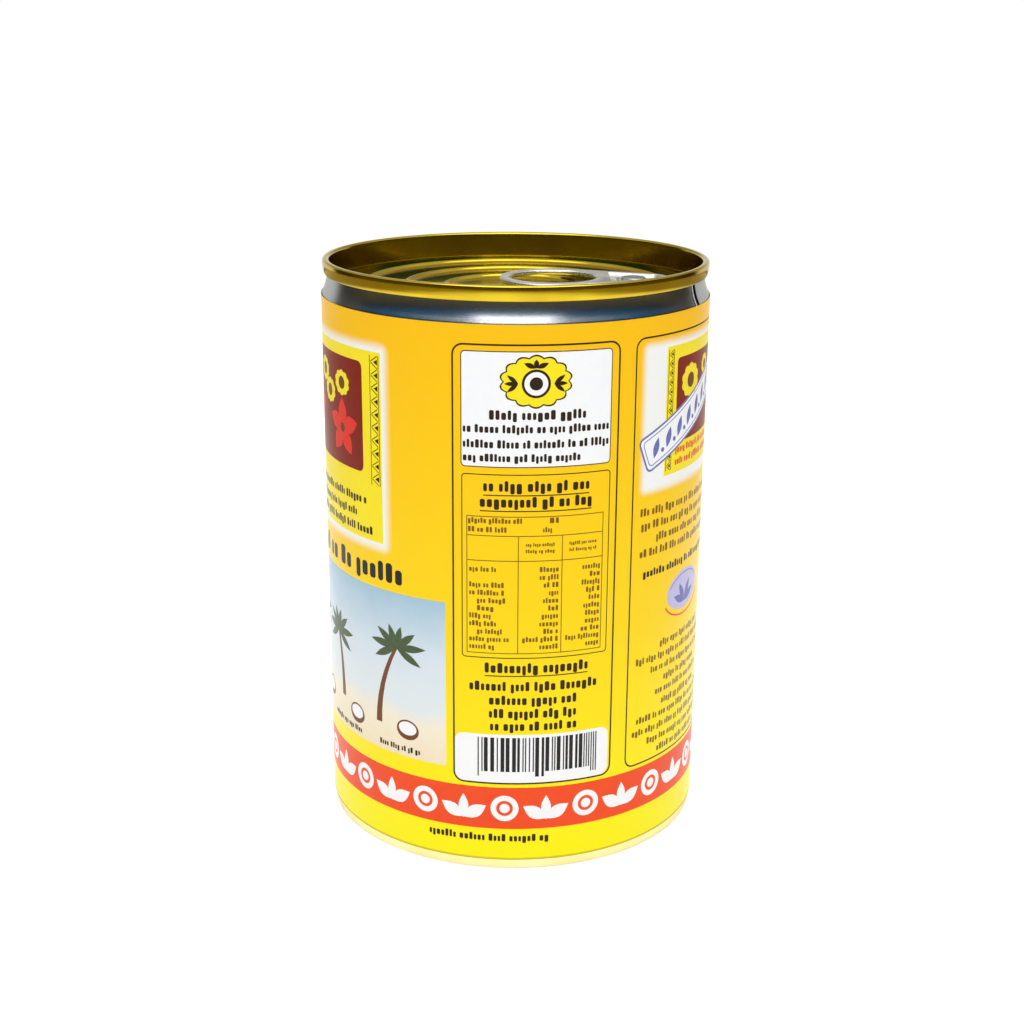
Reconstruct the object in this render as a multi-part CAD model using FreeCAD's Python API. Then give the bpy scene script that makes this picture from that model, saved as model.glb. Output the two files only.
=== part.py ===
import FreeCAD, Part
import math
import os

# Food can with a ring-pull lid, standing on its lower seam. Millimetres, +Z up, with the origin
# at the middle of the base. The front of the can faces -Y and the ring pull points along +X.
# Each radius is an outside radius, unless its name says otherwise.

# Whole can
can_height = 109.0
body_radius = 36.55

# Welded tinplate wall, drawn in to a narrower neck at both ends
wall_gauge = 0.20
top_neck_in = 1.10
bottom_neck_in = 0.87
neck_height = 1.35
shoulder_height = 2.0

# Side weld, a low ridge up the whole wall, turned from +X
weld_width = 1.9
weld_rise = 0.07
weld_turn = -26.0

# Double seams, where each end is folded round the edge of the wall
seam_height = 2.75
seam_folds = 0.92
seam_crown_radius = 0.35
seam_land = 0.25
seam_edge_break = 0.25
seam_roof = 0.80
seam_clearance = 0.02

# Both ends, pressed from sheet
end_gauge = 0.22
chuck_draft = 7.0
groove_width = 0.90
groove_wall_run = 0.20
riser_run = 0.45
ring_pitch = 7.50

# Lid: a flat rim with the score that tears, then three rings that step down to the middle
lid_panel_depth = 4.50
lid_groove_drop = 1.25
lid_rings = 3
lid_rim_width = 5.00
lid_riser = 0.60
lid_climb = 0.23
score_inset = 1.50
score_width = 0.28
score_depth = 0.07

# Bottom end: two rings that step the same way
base_panel_depth = 3.00
base_groove_drop = 0.80
base_rings = 2
base_rim_width = 5.40
base_riser = 0.45
base_climb = 0.25

# Ring pull: a pear-shaped tab with a rolled edge round a finger hole and a thin web
tab_rim_gap = 4.00
tab_ring_radius = 10.3
tab_nose_radius = 4.5
tab_height = 1.05
tab_clearance = 0.05
tab_sheet = 0.45
tab_roll_width = 1.6
tab_roll_round = 0.45
finger_hole_length = 16.3
finger_hole_width = 15.6
finger_hole_margin = 2.0
tab_bar_width = 2.6
web_length = 9.9

# Rivet, drawn up from the lid through a tongue cut in the web
rivet_radius = 1.6
rivet_clearance = 0.10
rivet_nose_gap = 5.4
rivet_head_lip = 0.80
rivet_head_height = 0.50
rivet_head_break = 0.20
tongue_margin = 0.35
tongue_slot_width = 0.60
tongue_hinge_angle = 110.0
island_lip = 1.60

# Paper label, wrapped round the wall and glued along one overlap at the back, turned from +X
label_gauge = 0.11
label_clearance = 0.08
label_foot = 1.93
label_headroom = 6.5
lap_width = 9.0
lap_turn = 135.0

# Seams and necks, from the wall
top_neck_radius = body_radius - top_neck_in
bottom_neck_radius = body_radius - bottom_neck_in
wall_edge = seam_roof + seam_clearance

ORIGIN = FreeCAD.Vector(0, 0, 0)
UP = FreeCAD.Vector(0, 0, 1)


def at(corner):
    """The place in the XZ plane of a (radius, height) pair."""
    return FreeCAD.Vector(corner[0], 0, corner[1])


def lathe(corners, angle=360.0, turn=0.0):
    """Turn a closed outline of (radius, height) corners about the can's axis.

    A corner that is a pair of points is a round stretch: a point on its way, then its end.
    """
    edges = []
    here = corners[0]
    for corner in corners[1:] + [corners[0]]:
        if isinstance(corner[0], tuple):
            way, end = corner
            edges.append(Part.Arc(at(here), at(way), at(end)).toShape())
        else:
            end = corner
            edges.append(Part.LineSegment(at(here), at(end)).toShape())
        here = end
    solid = Part.Face(Part.Wire(edges)).revolve(ORIGIN, UP, angle)
    solid.rotate(ORIGIN, UP, turn)
    return solid


def quarter_round(centre, radius, from_angle):
    """A round stretch for lathe, from an angle about a centre to a right angle further on."""
    points = []
    for angle in (from_angle + 45, from_angle + 90):
        turn = math.radians(angle)
        points.append((centre[0] + radius * math.cos(turn), centre[1] + radius * math.sin(turn)))
    return tuple(points)


def shoulder(start, end):
    """Two equal arcs that lead a vertical wall over to another radius."""
    across = end[0] - start[0]
    rise = end[1] - start[1]
    radius = (across**2 + rise**2) / (4 * abs(across))
    half_turn = math.atan2(abs(across), abs(rise))
    bow = math.copysign(radius * (1 - math.cos(half_turn)), across)
    lift = math.copysign(radius * math.sin(half_turn), rise)
    middle = ((start[0] + end[0]) / 2, (start[1] + end[1]) / 2)
    return [
        ((start[0] + bow, start[1] + lift), middle),
        ((end[0] - bow, end[1] - lift), end),
    ]


# The chuck wall and groove, which set where each end's flat panel begins

def slot_inside(neck_radius):
    """Inside radius of the slot in the seam that takes the wall's bare edge."""
    return neck_radius - wall_gauge - seam_clearance


def crown_inside(neck_radius):
    """Radius where the flat land on the seam's crown rounds over into the can's mouth."""
    return neck_radius + seam_folds - seam_crown_radius - seam_land


def groove_outside(neck_radius, groove_depth):
    """Radius at the foot of the chuck wall, which narrows as it goes down."""
    chuck_radius = slot_inside(neck_radius) - end_gauge
    straight = groove_depth - (crown_inside(neck_radius) - chuck_radius)
    return chuck_radius - straight * math.tan(math.radians(chuck_draft))


def panel_radius(neck_radius, groove_depth):
    """Radius of the flat panel inside the groove."""
    return groove_outside(neck_radius, groove_depth) - groove_width - groove_wall_run


def ring_corners(first_radius, count, level, riser, climb):
    """Corners of the rings that step an end's panel, from the outer ring to the axis.

    Each ring is a riser that faces the axis, and the panel climbs a little before the next.
    The middle of the panel is flat.
    """
    corners = []
    for ring in range(count):
        radius = first_radius - ring * ring_pitch
        corners.append((radius, level))
        level -= riser
        corners.append((radius - riser_run, level))
        level += climb
    corners.append((0, corners[-1][1]))
    return corners


def end_depth(groove_depth, rings):
    """How far the underside of an end lies below the crown of its seam."""
    lowest_ring = min(height for radius, height in rings)
    return max(groove_depth, -lowest_ring) + end_gauge


def pressed_end(neck_radius, groove_depth, panel, rings):
    """A sheet-metal end with its seam, the crown of the seam at height 0 and the panel below."""
    seam_radius = neck_radius + seam_folds
    chuck_radius = slot_inside(neck_radius) - end_gauge
    crown_outside = seam_radius - seam_crown_radius
    inner_round = crown_inside(neck_radius) - chuck_radius
    groove_foot = groove_outside(neck_radius, groove_depth)
    slot_outside = neck_radius + seam_clearance

    seam = [
        (slot_outside, -seam_height),
        (seam_radius - seam_edge_break, -seam_height),
        (seam_radius, -seam_height + seam_edge_break),
        (seam_radius, -seam_crown_radius),
        quarter_round((crown_outside, -seam_crown_radius), seam_crown_radius, 0),
        (crown_inside(neck_radius), 0),
        quarter_round((crown_inside(neck_radius), -inner_round), inner_round, 90),
    ]
    groove = [(groove_foot, -groove_depth), (groove_foot - groove_width, -groove_depth)]
    plain_panel = [panel[0]] + rings
    underside = [(radius, height - end_gauge) for radius, height in reversed(plain_panel)]
    under_groove = [
        (groove_foot - groove_width, -groove_depth - end_gauge),
        (groove_foot + end_gauge, -groove_depth - end_gauge),
    ]
    slot = [
        (slot_inside(neck_radius), -inner_round),
        (slot_inside(neck_radius), -seam_roof),
        (slot_outside, -seam_roof),
    ]
    return lathe(seam + groove + panel + rings + underside + under_groove + slot)


# Lid and bottom end, laid out once for the pieces that meet them
lid_groove_depth = lid_panel_depth + lid_groove_drop
lid_radius = panel_radius(top_neck_radius, lid_groove_depth)
lid_ring_corners = ring_corners(
    lid_radius - lid_rim_width, lid_rings, -lid_panel_depth, lid_riser, lid_climb
)
base_groove_depth = base_panel_depth + base_groove_drop
base_radius = panel_radius(bottom_neck_radius, base_groove_depth)
base_ring_corners = ring_corners(
    base_radius - base_rim_width, base_rings, -base_panel_depth, base_riser, base_climb
)

# Ring pull and rivet, laid out from the rim of the lid's panel
lid_height = can_height - lid_panel_depth
second_ring = can_height + lid_ring_corners[2][1]
tab_base = second_ring + tab_clearance
tab_length = finger_hole_margin + finger_hole_length + tab_bar_width + web_length + tab_roll_width
tab_reach = lid_radius - tab_rim_gap
tab_back = tab_reach - tab_length
web_start = tab_reach - tab_roll_width - web_length
rivet_place = tab_reach - tab_roll_width - rivet_nose_gap
rivet_head_radius = rivet_radius + rivet_head_lip
tongue_radius = rivet_head_radius + tongue_margin


def wall_outline(stand_off):
    """Outside corners of the necked wall between the two seams, bottom to top."""
    low_neck = (bottom_neck_radius + stand_off, seam_height + neck_height)
    low_wall = (body_radius + stand_off, low_neck[1] + shoulder_height)
    high_neck = (top_neck_radius + stand_off, can_height - seam_height - neck_height)
    high_wall = (body_radius + stand_off, high_neck[1] - shoulder_height)
    return [low_neck, low_wall, high_wall] + shoulder(high_wall, high_neck)


def can_body():
    """Wall and contents of the shut can, with the wall's bare edges standing up in the seams."""
    fill_bottom = end_depth(base_groove_depth, base_ring_corners)
    fill_top = can_height - end_depth(lid_groove_depth, lid_ring_corners)
    low_edge = [
        (0, fill_bottom),
        (bottom_neck_radius - wall_gauge, fill_bottom),
        (bottom_neck_radius - wall_gauge, wall_edge),
        (bottom_neck_radius, wall_edge),
    ]
    high_edge = [
        (top_neck_radius, can_height - wall_edge),
        (top_neck_radius - wall_gauge, can_height - wall_edge),
        (top_neck_radius - wall_gauge, fill_top),
        (0, fill_top),
    ]
    body = lathe(low_edge + wall_outline(0) + high_edge)

    mid_wall = wall_gauge / 2
    ridge = [
        (bottom_neck_radius - mid_wall, seam_height),
        (bottom_neck_radius + weld_rise, seam_height),
    ]
    ridge += wall_outline(weld_rise)
    ridge += [
        (top_neck_radius + weld_rise, can_height - seam_height),
        (top_neck_radius - mid_wall, can_height - seam_height),
    ]
    weld_angle = math.degrees(weld_width / body_radius)
    return body.fuse(lathe(ridge, weld_angle, weld_turn - weld_angle / 2)).removeSplitter()


def top_end():
    """Easy-open lid, scored near its rim, with the ring pull's rivet drawn up out of it."""
    score_radius = lid_radius - score_inset
    panel = [
        (lid_radius, -lid_panel_depth),
        (score_radius + score_width / 2, -lid_panel_depth),
        (score_radius, -lid_panel_depth - score_depth),
        (score_radius - score_width / 2, -lid_panel_depth),
    ]
    end = pressed_end(top_neck_radius, lid_groove_depth, panel, lid_ring_corners)
    end.translate(FreeCAD.Vector(0, 0, can_height))

    root = can_height + lid_ring_corners[1][1] - end_gauge / 2
    island_radius = rivet_radius + island_lip
    head_base = tab_base + tab_sheet
    head_top = head_base + rivet_head_height
    rivet = lathe([
        (0, root),
        (island_radius, root),
        (island_radius, tab_base),
        (rivet_radius, tab_base),
        (rivet_radius, head_base),
        (rivet_head_radius, head_base),
        (rivet_head_radius, head_top - rivet_head_break),
        (rivet_head_radius - rivet_head_break, head_top),
        (0, head_top),
    ])
    rivet.translate(FreeCAD.Vector(rivet_place, 0, 0))
    return end.fuse(rivet).removeSplitter()


def bottom_end():
    """Plain end, pressed like the lid and turned over."""
    panel = [(base_radius, -base_panel_depth)]
    end = pressed_end(bottom_neck_radius, base_groove_depth, panel, base_ring_corners)
    end.rotate(ORIGIN, FreeCAD.Vector(1, 0, 0), 180)
    return end


def flat_face(stretches):
    """A face inside stretches of outline: (start, end) is a line, (start, way, end) an arc."""
    edges = []
    for stretch in stretches:
        points = [FreeCAD.Vector(x, y, 0) for x, y in stretch]
        curve = Part.LineSegment if len(points) == 2 else Part.Arc
        edges.append(curve(*points).toShape())
    return Part.Face(Part.Wire(edges))


def pear(inset):
    """The ring pull's outline, two rounds and their tangents, drawn in by inset."""
    ring_radius = tab_ring_radius - inset
    nose_radius = tab_nose_radius - inset
    ring_place = tab_back + tab_ring_radius
    nose_place = tab_reach - tab_nose_radius
    lean = math.asin((ring_radius - nose_radius) / (nose_place - ring_place))
    ring_x = ring_place + ring_radius * math.sin(lean)
    ring_y = ring_radius * math.cos(lean)
    nose_x = nose_place + nose_radius * math.sin(lean)
    nose_y = nose_radius * math.cos(lean)
    return flat_face([
        [(ring_x, ring_y), (nose_x, nose_y)],
        [(nose_x, nose_y), (nose_place + nose_radius, 0), (nose_x, -nose_y)],
        [(nose_x, -nose_y), (ring_x, -ring_y)],
        [(ring_x, -ring_y), (ring_place - ring_radius, 0), (ring_x, ring_y)],
    ])


def finger_hole():
    """The finger hole's outline, a slot with round ends along the tab."""
    half_width = finger_hole_width / 2
    start = tab_back + finger_hole_margin
    near = start + half_width
    far = start + finger_hole_length - half_width
    return flat_face([
        [(near, half_width), (far, half_width)],
        [(far, half_width), (far + half_width, 0), (far, -half_width)],
        [(far, -half_width), (near, -half_width)],
        [(near, -half_width), (start, 0), (near, half_width)],
    ])


def tongue_slot():
    """A slot round most of the rivet, open towards the nose, where the tongue bends."""
    corners = [
        (tongue_radius, -tab_sheet),
        (tongue_radius + tongue_slot_width, -tab_sheet),
        (tongue_radius + tongue_slot_width, 2 * tab_sheet),
        (tongue_radius, 2 * tab_sheet),
    ]
    return lathe(corners, 360 - tongue_hinge_angle, tongue_hinge_angle / 2)


def nose_step():
    """The space over the flat rim of the lid, where the nose of the ring pull is thinner."""
    inside = lid_ring_corners[1][0]
    roof = lid_height + tab_clearance
    return lathe([(inside, tab_base), (lid_radius, tab_base), (lid_radius, roof), (inside, roof)])


def pull_tab():
    """Aluminium ring pull, its rolled edge round the finger hole and the web."""
    thickness = FreeCAD.Vector(0, 0, tab_height)
    tab = pear(0).extrude(thickness).cut(finger_hole().extrude(thickness))
    outlines = [edge for edge in tab.Edges if edge.BoundBox.ZLength < tab_height / 2]
    tab = tab.makeFillet(tab_roll_round, outlines)

    corner = FreeCAD.Vector(web_start, -tab_ring_radius, 0)
    past_bar = Part.makeBox(tab_length, 2 * tab_ring_radius, tab_height, corner)
    recess = pear(tab_roll_width).extrude(thickness).common(past_bar)
    recess.translate(FreeCAD.Vector(0, 0, tab_sheet))
    tab = tab.cut(recess)

    rivet_hole = Part.makeCylinder(rivet_radius + rivet_clearance, tab_height)
    for opening in (rivet_hole, tongue_slot()):
        opening.translate(FreeCAD.Vector(rivet_place, 0, 0))
        tab = tab.cut(opening)
    tab.translate(FreeCAD.Vector(0, 0, tab_base))
    return tab.cut(nose_step())


def paper_label():
    """Paper sleeve with its glued overlap, a second thickness of paper."""
    inside = body_radius + label_clearance
    outside = inside + label_gauge
    top = can_height - label_headroom
    sleeve = lathe([(inside, label_foot), (outside, label_foot), (outside, top), (inside, top)])

    half_paper = inside + label_gauge / 2
    lap_outside = outside + label_gauge
    lap_outline = [
        (half_paper, label_foot),
        (lap_outside, label_foot),
        (lap_outside, top),
        (half_paper, top),
    ]
    lap_angle = math.degrees(lap_width / outside)
    lap = lathe(lap_outline, lap_angle, lap_turn - lap_angle / 2)
    return sleeve.fuse(lap).removeSplitter()


pieces = {
    "can_body": can_body,
    "top_end": top_end,
    "bottom_end": bottom_end,
    "pull_tab": pull_tab,
    "paper_label": paper_label,
}

os.makedirs("parts", exist_ok=True)
for name, make in pieces.items():
    make().exportStep("parts/" + name + ".step")
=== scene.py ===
import math
import random

import bmesh
import bpy
from mathutils import Matrix, Vector


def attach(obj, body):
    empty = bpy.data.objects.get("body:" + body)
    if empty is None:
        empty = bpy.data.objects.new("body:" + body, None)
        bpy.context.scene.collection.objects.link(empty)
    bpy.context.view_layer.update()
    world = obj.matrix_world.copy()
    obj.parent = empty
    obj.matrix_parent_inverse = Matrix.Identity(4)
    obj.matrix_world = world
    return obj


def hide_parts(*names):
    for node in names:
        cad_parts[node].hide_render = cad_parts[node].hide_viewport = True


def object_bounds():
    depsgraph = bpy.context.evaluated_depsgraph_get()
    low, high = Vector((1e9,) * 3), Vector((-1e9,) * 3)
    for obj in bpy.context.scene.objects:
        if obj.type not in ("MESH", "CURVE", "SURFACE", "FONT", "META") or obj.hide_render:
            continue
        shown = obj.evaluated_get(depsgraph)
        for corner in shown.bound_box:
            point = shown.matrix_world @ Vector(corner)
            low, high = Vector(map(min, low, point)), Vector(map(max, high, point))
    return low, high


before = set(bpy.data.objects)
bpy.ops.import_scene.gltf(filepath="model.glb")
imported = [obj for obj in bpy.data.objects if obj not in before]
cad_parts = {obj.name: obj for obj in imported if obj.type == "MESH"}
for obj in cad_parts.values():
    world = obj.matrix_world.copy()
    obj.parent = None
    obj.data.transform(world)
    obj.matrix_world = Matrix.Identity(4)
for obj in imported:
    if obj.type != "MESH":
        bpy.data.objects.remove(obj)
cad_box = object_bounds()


# ----------------------------------------------------------------------
# Can wall. A three-piece food can starts as tinplate rolled into a tube and welded up the
# side, then its two ends are drawn in to narrower necks. Only the top neck shows bare.

# Sizes are in millimetres and heights count from the can's foot. The wall stops WALL_EDGE short
# of each seam's crown, and its inside corners shift a little to keep the gauge even.
MM = 0.001
CAN_HEIGHT = cad_box[1][2] / MM
WALL_RADIUS = 36.55
WALL_GAUGE = 0.20
WALL_EDGE = 0.82
TOP_NECK = 35.45
BOTTOM_NECK = 35.68
LOW_SHOULDER_FOOT = 4.10
LOW_SHOULDER_TOP = 6.10
LOW_ROUND = 0.9
SHOULDER_FOOT = 102.5
SHOULDER_TOP = 104.9
FOOT_ROUND = 0.3
NECK_ROUND = 1.8
INSIDE_SHIFT = 0.1


def linear(hex_colour):
    """An sRGB hex colour as the linear RGBA a shader socket takes."""
    parts = [int(hex_colour[i:i + 2], 16) / 255 for i in (1, 3, 5)]
    return (*[c / 12.92 if c < 0.04045 else ((c + 0.055) / 1.055) ** 2.4 for c in parts], 1.0)


def new_material(name):
    """An empty node material, and the link that fixes a pattern to the object."""
    material = bpy.data.materials.new(name)
    material.use_nodes = True
    material.node_tree.nodes.clear()
    return material, {"Vector": add(material, "TexCoord").outputs["Object"]}


def add(material, kind, settings={}, links={}, stops=()):
    """Add one node, set its sockets or properties by name, and link its inputs.

    Stops are the (position, hex colour) pairs of a colour ramp.
    """
    node = material.node_tree.nodes.new("ShaderNode" + kind)
    for name, value in settings.items():
        if isinstance(name, int) or name in node.inputs:
            node.inputs[name].default_value = value
        else:
            setattr(node, name, value)
    for name, source in links.items():
        material.node_tree.links.new(source, node.inputs[name])
    for position, _ in stops[1:-1]:
        node.color_ramp.elements.new(position)
    for number, (position, colour) in enumerate(stops):
        node.color_ramp.elements[number].position = position
        node.color_ramp.elements[number].color = linear(colour)
    return node


def metal_finish(material, colour, grain, roughness, relief, settings):
    """Finish a metal: its roughness, between two values, and its relief follow the grain."""
    frost = add(material, "MapRange", {"To Min": roughness[0], "To Max": roughness[1]},
                {"Value": grain.outputs["Fac"]})
    bump = add(material, "Bump", {"Strength": relief, "Distance": 0.02 * MM},
               {"Height": grain.outputs["Fac"]})
    metal = add(material, "BsdfPrincipled", {"Metallic": 1.0, **settings},
                {"Base Color": colour.outputs["Color"], "Roughness": frost.outputs["Result"],
                 "Normal": bump.outputs["Normal"]})
    add(material, "OutputMaterial", links={"Surface": metal.outputs["BSDF"]})


def profile(outline):
    """An upright face with the closed outline of (radius, height, corner round) points."""
    bm = bmesh.new()
    corners = [bm.verts.new((radius * MM, 0, height * MM)) for radius, height, _ in outline]
    bm.faces.new(corners)
    for size in sorted({corner[2] for corner in outline if corner[2]}):
        rounded = [v for v, corner in zip(corners, outline) if corner[2] == size]
        bmesh.ops.bevel(bm, geom=rounded, offset=size * MM, offset_type="OFFSET", segments=6,
                        profile=0.5, affect="VERTICES", material=-1)
    return bm


def spun(name, outline, steps=288, centre=0.0):
    """Turn a closed outline about an upright axis, centre mm along the can's own."""
    bm = profile(outline)
    bmesh.ops.delete(bm, geom=bm.faces[:], context="FACES_ONLY")
    bmesh.ops.spin(bm, geom=bm.verts[:] + bm.edges[:], cent=(0, 0, 0), axis=(0, 0, 1),
                   angle=2 * math.pi, steps=steps, use_merge=True)
    bmesh.ops.remove_doubles(bm, verts=bm.verts[:], dist=0.0005 * MM)
    bmesh.ops.recalc_face_normals(bm, faces=bm.faces[:])
    bmesh.ops.translate(bm, verts=bm.verts[:], vec=(centre * MM, 0, 0))
    return finished(name, bm)


def finished(name, bm, crease=None):
    """Make the mesh object, smooth except at edges sharper than crease degrees."""
    mesh = bpy.data.meshes.new(name)
    bm.to_mesh(mesh)
    bm.free()
    mesh.shade_smooth()
    if crease:
        mesh.set_sharp_from_angle(angle=math.radians(crease))
    piece = bpy.data.objects.new(name, mesh)
    bpy.context.scene.collection.objects.link(piece)
    return piece


def even_shading(piece):
    """Keep flat metal flat between its rounded corners."""
    modifier = piece.modifiers.new("even_shading", "WEIGHTED_NORMAL")
    modifier.weight = 80
    modifier.keep_sharp = True


# Electrolytic tinplate, matt-stone finish: a cool grey metal with a fine grain from the rolls
# and a faint crystal mottle in the tin, so highlights look frosted, and grey even at a glancing
# angle. Real grain is finer than 0.8 mm and is drawn that coarse so that it shows.
tinplate, place = new_material("tinplate_stone_finish")
crystals = add(tinplate, "TexVoronoi", {"Scale": 1 / (0.4 * MM), "Randomness": 1.0}, place)
grain_way = add(tinplate, "Mapping", {"Scale": (1.0, 1.0, 9.0)}, place)
grain = add(tinplate, "TexNoise", {"Scale": 1 / (0.8 * MM), "Detail": 4.0, "Roughness": 0.7},
            {"Vector": grain_way.outputs["Vector"]})
tint = add(tinplate, "ValToRGB", links={"Fac": crystals.outputs["Color"]},
           stops=((0.0, "#BCC0C6"), (1.0, "#CBCED3")))
metal_finish(tinplate, tint, grain, (0.15, 0.28), 0.35, {"Specular Tint": linear("#DEDEDA")})

wall = spun("can_wall", [
    (BOTTOM_NECK - WALL_GAUGE, WALL_EDGE, 0),
    (BOTTOM_NECK, WALL_EDGE, 0),
    (BOTTOM_NECK, LOW_SHOULDER_FOOT, LOW_ROUND),
    (WALL_RADIUS, LOW_SHOULDER_TOP, LOW_ROUND),
    (WALL_RADIUS, SHOULDER_FOOT, FOOT_ROUND),
    (TOP_NECK, SHOULDER_TOP, NECK_ROUND),
    (TOP_NECK, CAN_HEIGHT - WALL_EDGE, 0),
    (TOP_NECK - WALL_GAUGE, CAN_HEIGHT - WALL_EDGE, 0),
    (TOP_NECK - WALL_GAUGE, SHOULDER_TOP - INSIDE_SHIFT, NECK_ROUND),
    (WALL_RADIUS - WALL_GAUGE, SHOULDER_FOOT - INSIDE_SHIFT, FOOT_ROUND),
    (WALL_RADIUS - WALL_GAUGE, LOW_SHOULDER_TOP + INSIDE_SHIFT, LOW_ROUND),
    (BOTTOM_NECK - WALL_GAUGE, LOW_SHOULDER_FOOT + INSIDE_SHIFT, LOW_ROUND),
])
even_shading(wall)
wall.data.materials.append(tinplate)
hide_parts("can_body")
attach(wall, "root")


# ----------------------------------------------------------------------
# Side weld. The overlap of the tinplate is welded by copper wire rollers, which leaves a low
# ridge up the wall, darkened by the heat beside one bright pressed track.

WELD_TURN = -26.0
WELD_WIDTH = 1.9
WELD_RISE = 0.06
WELD_TOP = 106.4
WELD_FOOT = 100.0
BEDDING = 0.05
TRACK_OFFSET = -0.60
TRACK_WIDTH = 0.5
TRACK_RISE = 0.08


def weld_strip(name, start, width, rise):
    """A strip up the neck, start mm round from the middle of the weld, standing rise proud."""
    face = [
        (TOP_NECK + rise, WELD_TOP, 0),
        (TOP_NECK + rise, SHOULDER_TOP, NECK_ROUND),
        (WALL_RADIUS + rise, SHOULDER_FOOT, FOOT_ROUND),
        (WALL_RADIUS + rise, WELD_FOOT, 0),
    ]
    sunk = [(radius - rise - BEDDING, height, rounding)
            for radius, height, rounding in reversed(face)]
    bm = profile(face + sunk)
    first = WELD_TURN + math.degrees((start - width / 2) / WALL_RADIUS)
    bmesh.ops.rotate(bm, verts=bm.verts[:], cent=(0, 0, 0),
                     matrix=Matrix.Rotation(math.radians(first), 3, "Z"))
    bmesh.ops.spin(bm, geom=bm.faces[:], cent=(0, 0, 0), axis=(0, 0, 1),
                   angle=width / WALL_RADIUS, steps=4)
    bmesh.ops.recalc_face_normals(bm, faces=bm.faces[:])
    return finished(name, bm, crease=35)


# Scorched weld: a near black skin of oxide scale, 0.7 mm across a flake, that hardly shines.
scorched, place = new_material("weld_heat_tint")
scale = add(scorched, "TexNoise", {"Scale": 1 / (0.7 * MM), "Detail": 5.0}, place)
oxide = add(scorched, "ValToRGB", links={"Fac": scale.outputs["Fac"]},
            stops=((0.0, "#050504"), (1.0, "#191613")))
relief = add(scorched, "Bump", {"Strength": 0.4, "Distance": 0.03 * MM},
             {"Height": scale.outputs["Fac"]})
metal = add(scorched, "BsdfPrincipled", {"Roughness": 0.8, "IOR": 1.5, "Specular IOR Level": 0.0},
            {"Base Color": oxide.outputs["Color"], "Normal": relief.outputs["Normal"]})
add(scorched, "OutputMaterial", links={"Surface": metal.outputs["BSDF"]})

weld = weld_strip("side_weld", 0.0, WELD_WIDTH, WELD_RISE)
weld.data.materials.append(scorched)
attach(weld, "root")

# The pressed track: the same tin, rubbed bright but coarse. Its scratches scatter part of the
# light, so it shows from any angle. They are drawn 0.3 mm apart, coarser than they are.
rubbed, place = new_material("weld_track_rubbed")
scratch = add(rubbed, "TexNoise", {"Scale": 1 / (0.3 * MM), "Detail": 3.0}, place)
shade = add(rubbed, "Mix", {"data_type": "RGBA", 6: linear("#D6D8DA"), 7: linear("#F2F3F4")},
            {0: scratch.outputs["Fac"]})
metal = add(rubbed, "BsdfPrincipled", {"Metallic": 0.6, "Roughness": 0.6},
            {"Base Color": shade.outputs[2]})
add(rubbed, "OutputMaterial", links={"Surface": metal.outputs["BSDF"]})

track = weld_strip("weld_track", TRACK_OFFSET, TRACK_WIDTH, TRACK_RISE)
track.data.materials.append(rubbed)
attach(track, "root")


# ----------------------------------------------------------------------
# Bottom end. A lacquered tinplate disc, pressed with two shallow rings so it can flex while
# the can is heated, and folded round the wall in a double seam that the can stands on.

GAUGE = 0.22
FOLDS = 0.92
SEAM_HEIGHT = 2.75
SEAM_ROOF = 0.80
FIT = 0.02
CHUCK_TOP = 0.76
CHUCK_LEAN = 7.0
GROOVE_WIDTH = 0.9
RING_ROUND = 0.35
BASE_DEPTH = -3.0
BASE_GROOVE = -3.8
BASE_PANEL = 33.767
BASE_RINGS = (28.367, 20.867)
BASE_STEP = 0.45
BASE_CLIMB = 0.25


def lacquered(name, first, second):
    """Tinplate under clear food lacquer: warm metal, a wet-looking coat, faint rolling lines.

    The lacquer flows out in patches 9 mm across. The rolling lines are drawn 0.35 mm apart,
    coarser than they are, so that they show.
    """
    material, place = new_material(name)
    roll_way = add(material, "Mapping", {"Scale": (0.06, 1.0, 1.0)}, place)
    rolling = add(material, "TexNoise", {"Scale": 1 / (0.35 * MM), "Detail": 3.0, "Roughness": 0.6},
                  {"Vector": roll_way.outputs["Vector"]})
    flow = add(material, "TexNoise", {"Scale": 1 / (9 * MM), "Detail": 2.0}, place)
    tint = add(material, "ValToRGB", links={"Fac": flow.outputs["Fac"]},
               stops=((0.3, first), (0.7, second)))
    metal_finish(material, tint, rolling, (0.10, 0.18), 0.12,
                 {"Specular Tint": linear("#E4E0CA"),
                  "Coat Weight": 0.45, "Coat Roughness": 0.08, "Coat IOR": 1.5})
    return material


def seamed_end(neck, groove, panel):
    """Outline of a pressed end, crown of the seam at height 0, from the seam in to the axis."""
    seam = neck + FOLDS
    slot = neck - WALL_GAUGE - FIT
    chuck = slot - GAUGE
    foot = chuck + (groove + CHUCK_TOP) * math.tan(math.radians(CHUCK_LEAN))
    rim = [
        (neck + FIT, -SEAM_HEIGHT, 0),
        (seam - 0.42, -SEAM_HEIGHT, 0.12),
        (seam - 0.24, -2.30, 0.3),
        (seam - 0.05, -1.30, 0.5),
        (seam, -0.60, 0.3),
        (seam - 0.08, -0.20, 0.10),
        (seam - 0.35, 0, 0.15),
        (chuck + 0.42, 0, 0.12),
        (chuck + 0.08, -0.20, 0.2),
        (chuck, -CHUCK_TOP, 0.2),
        (foot, groove, 0.3),
        (foot - GROOVE_WIDTH, groove, 0.3),
    ]
    under = [(radius, height - GAUGE, rounding) for radius, height, rounding in reversed(panel)]
    under += [
        (foot - GROOVE_WIDTH, groove - GAUGE, 0.2),
        (foot + GAUGE, groove - GAUGE, 0.2),
        (slot, -CHUCK_TOP, 0.1),
        (slot, -SEAM_ROOF, 0),
        (neck + FIT, -SEAM_ROOF, 0),
    ]
    return rim + panel + under


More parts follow.
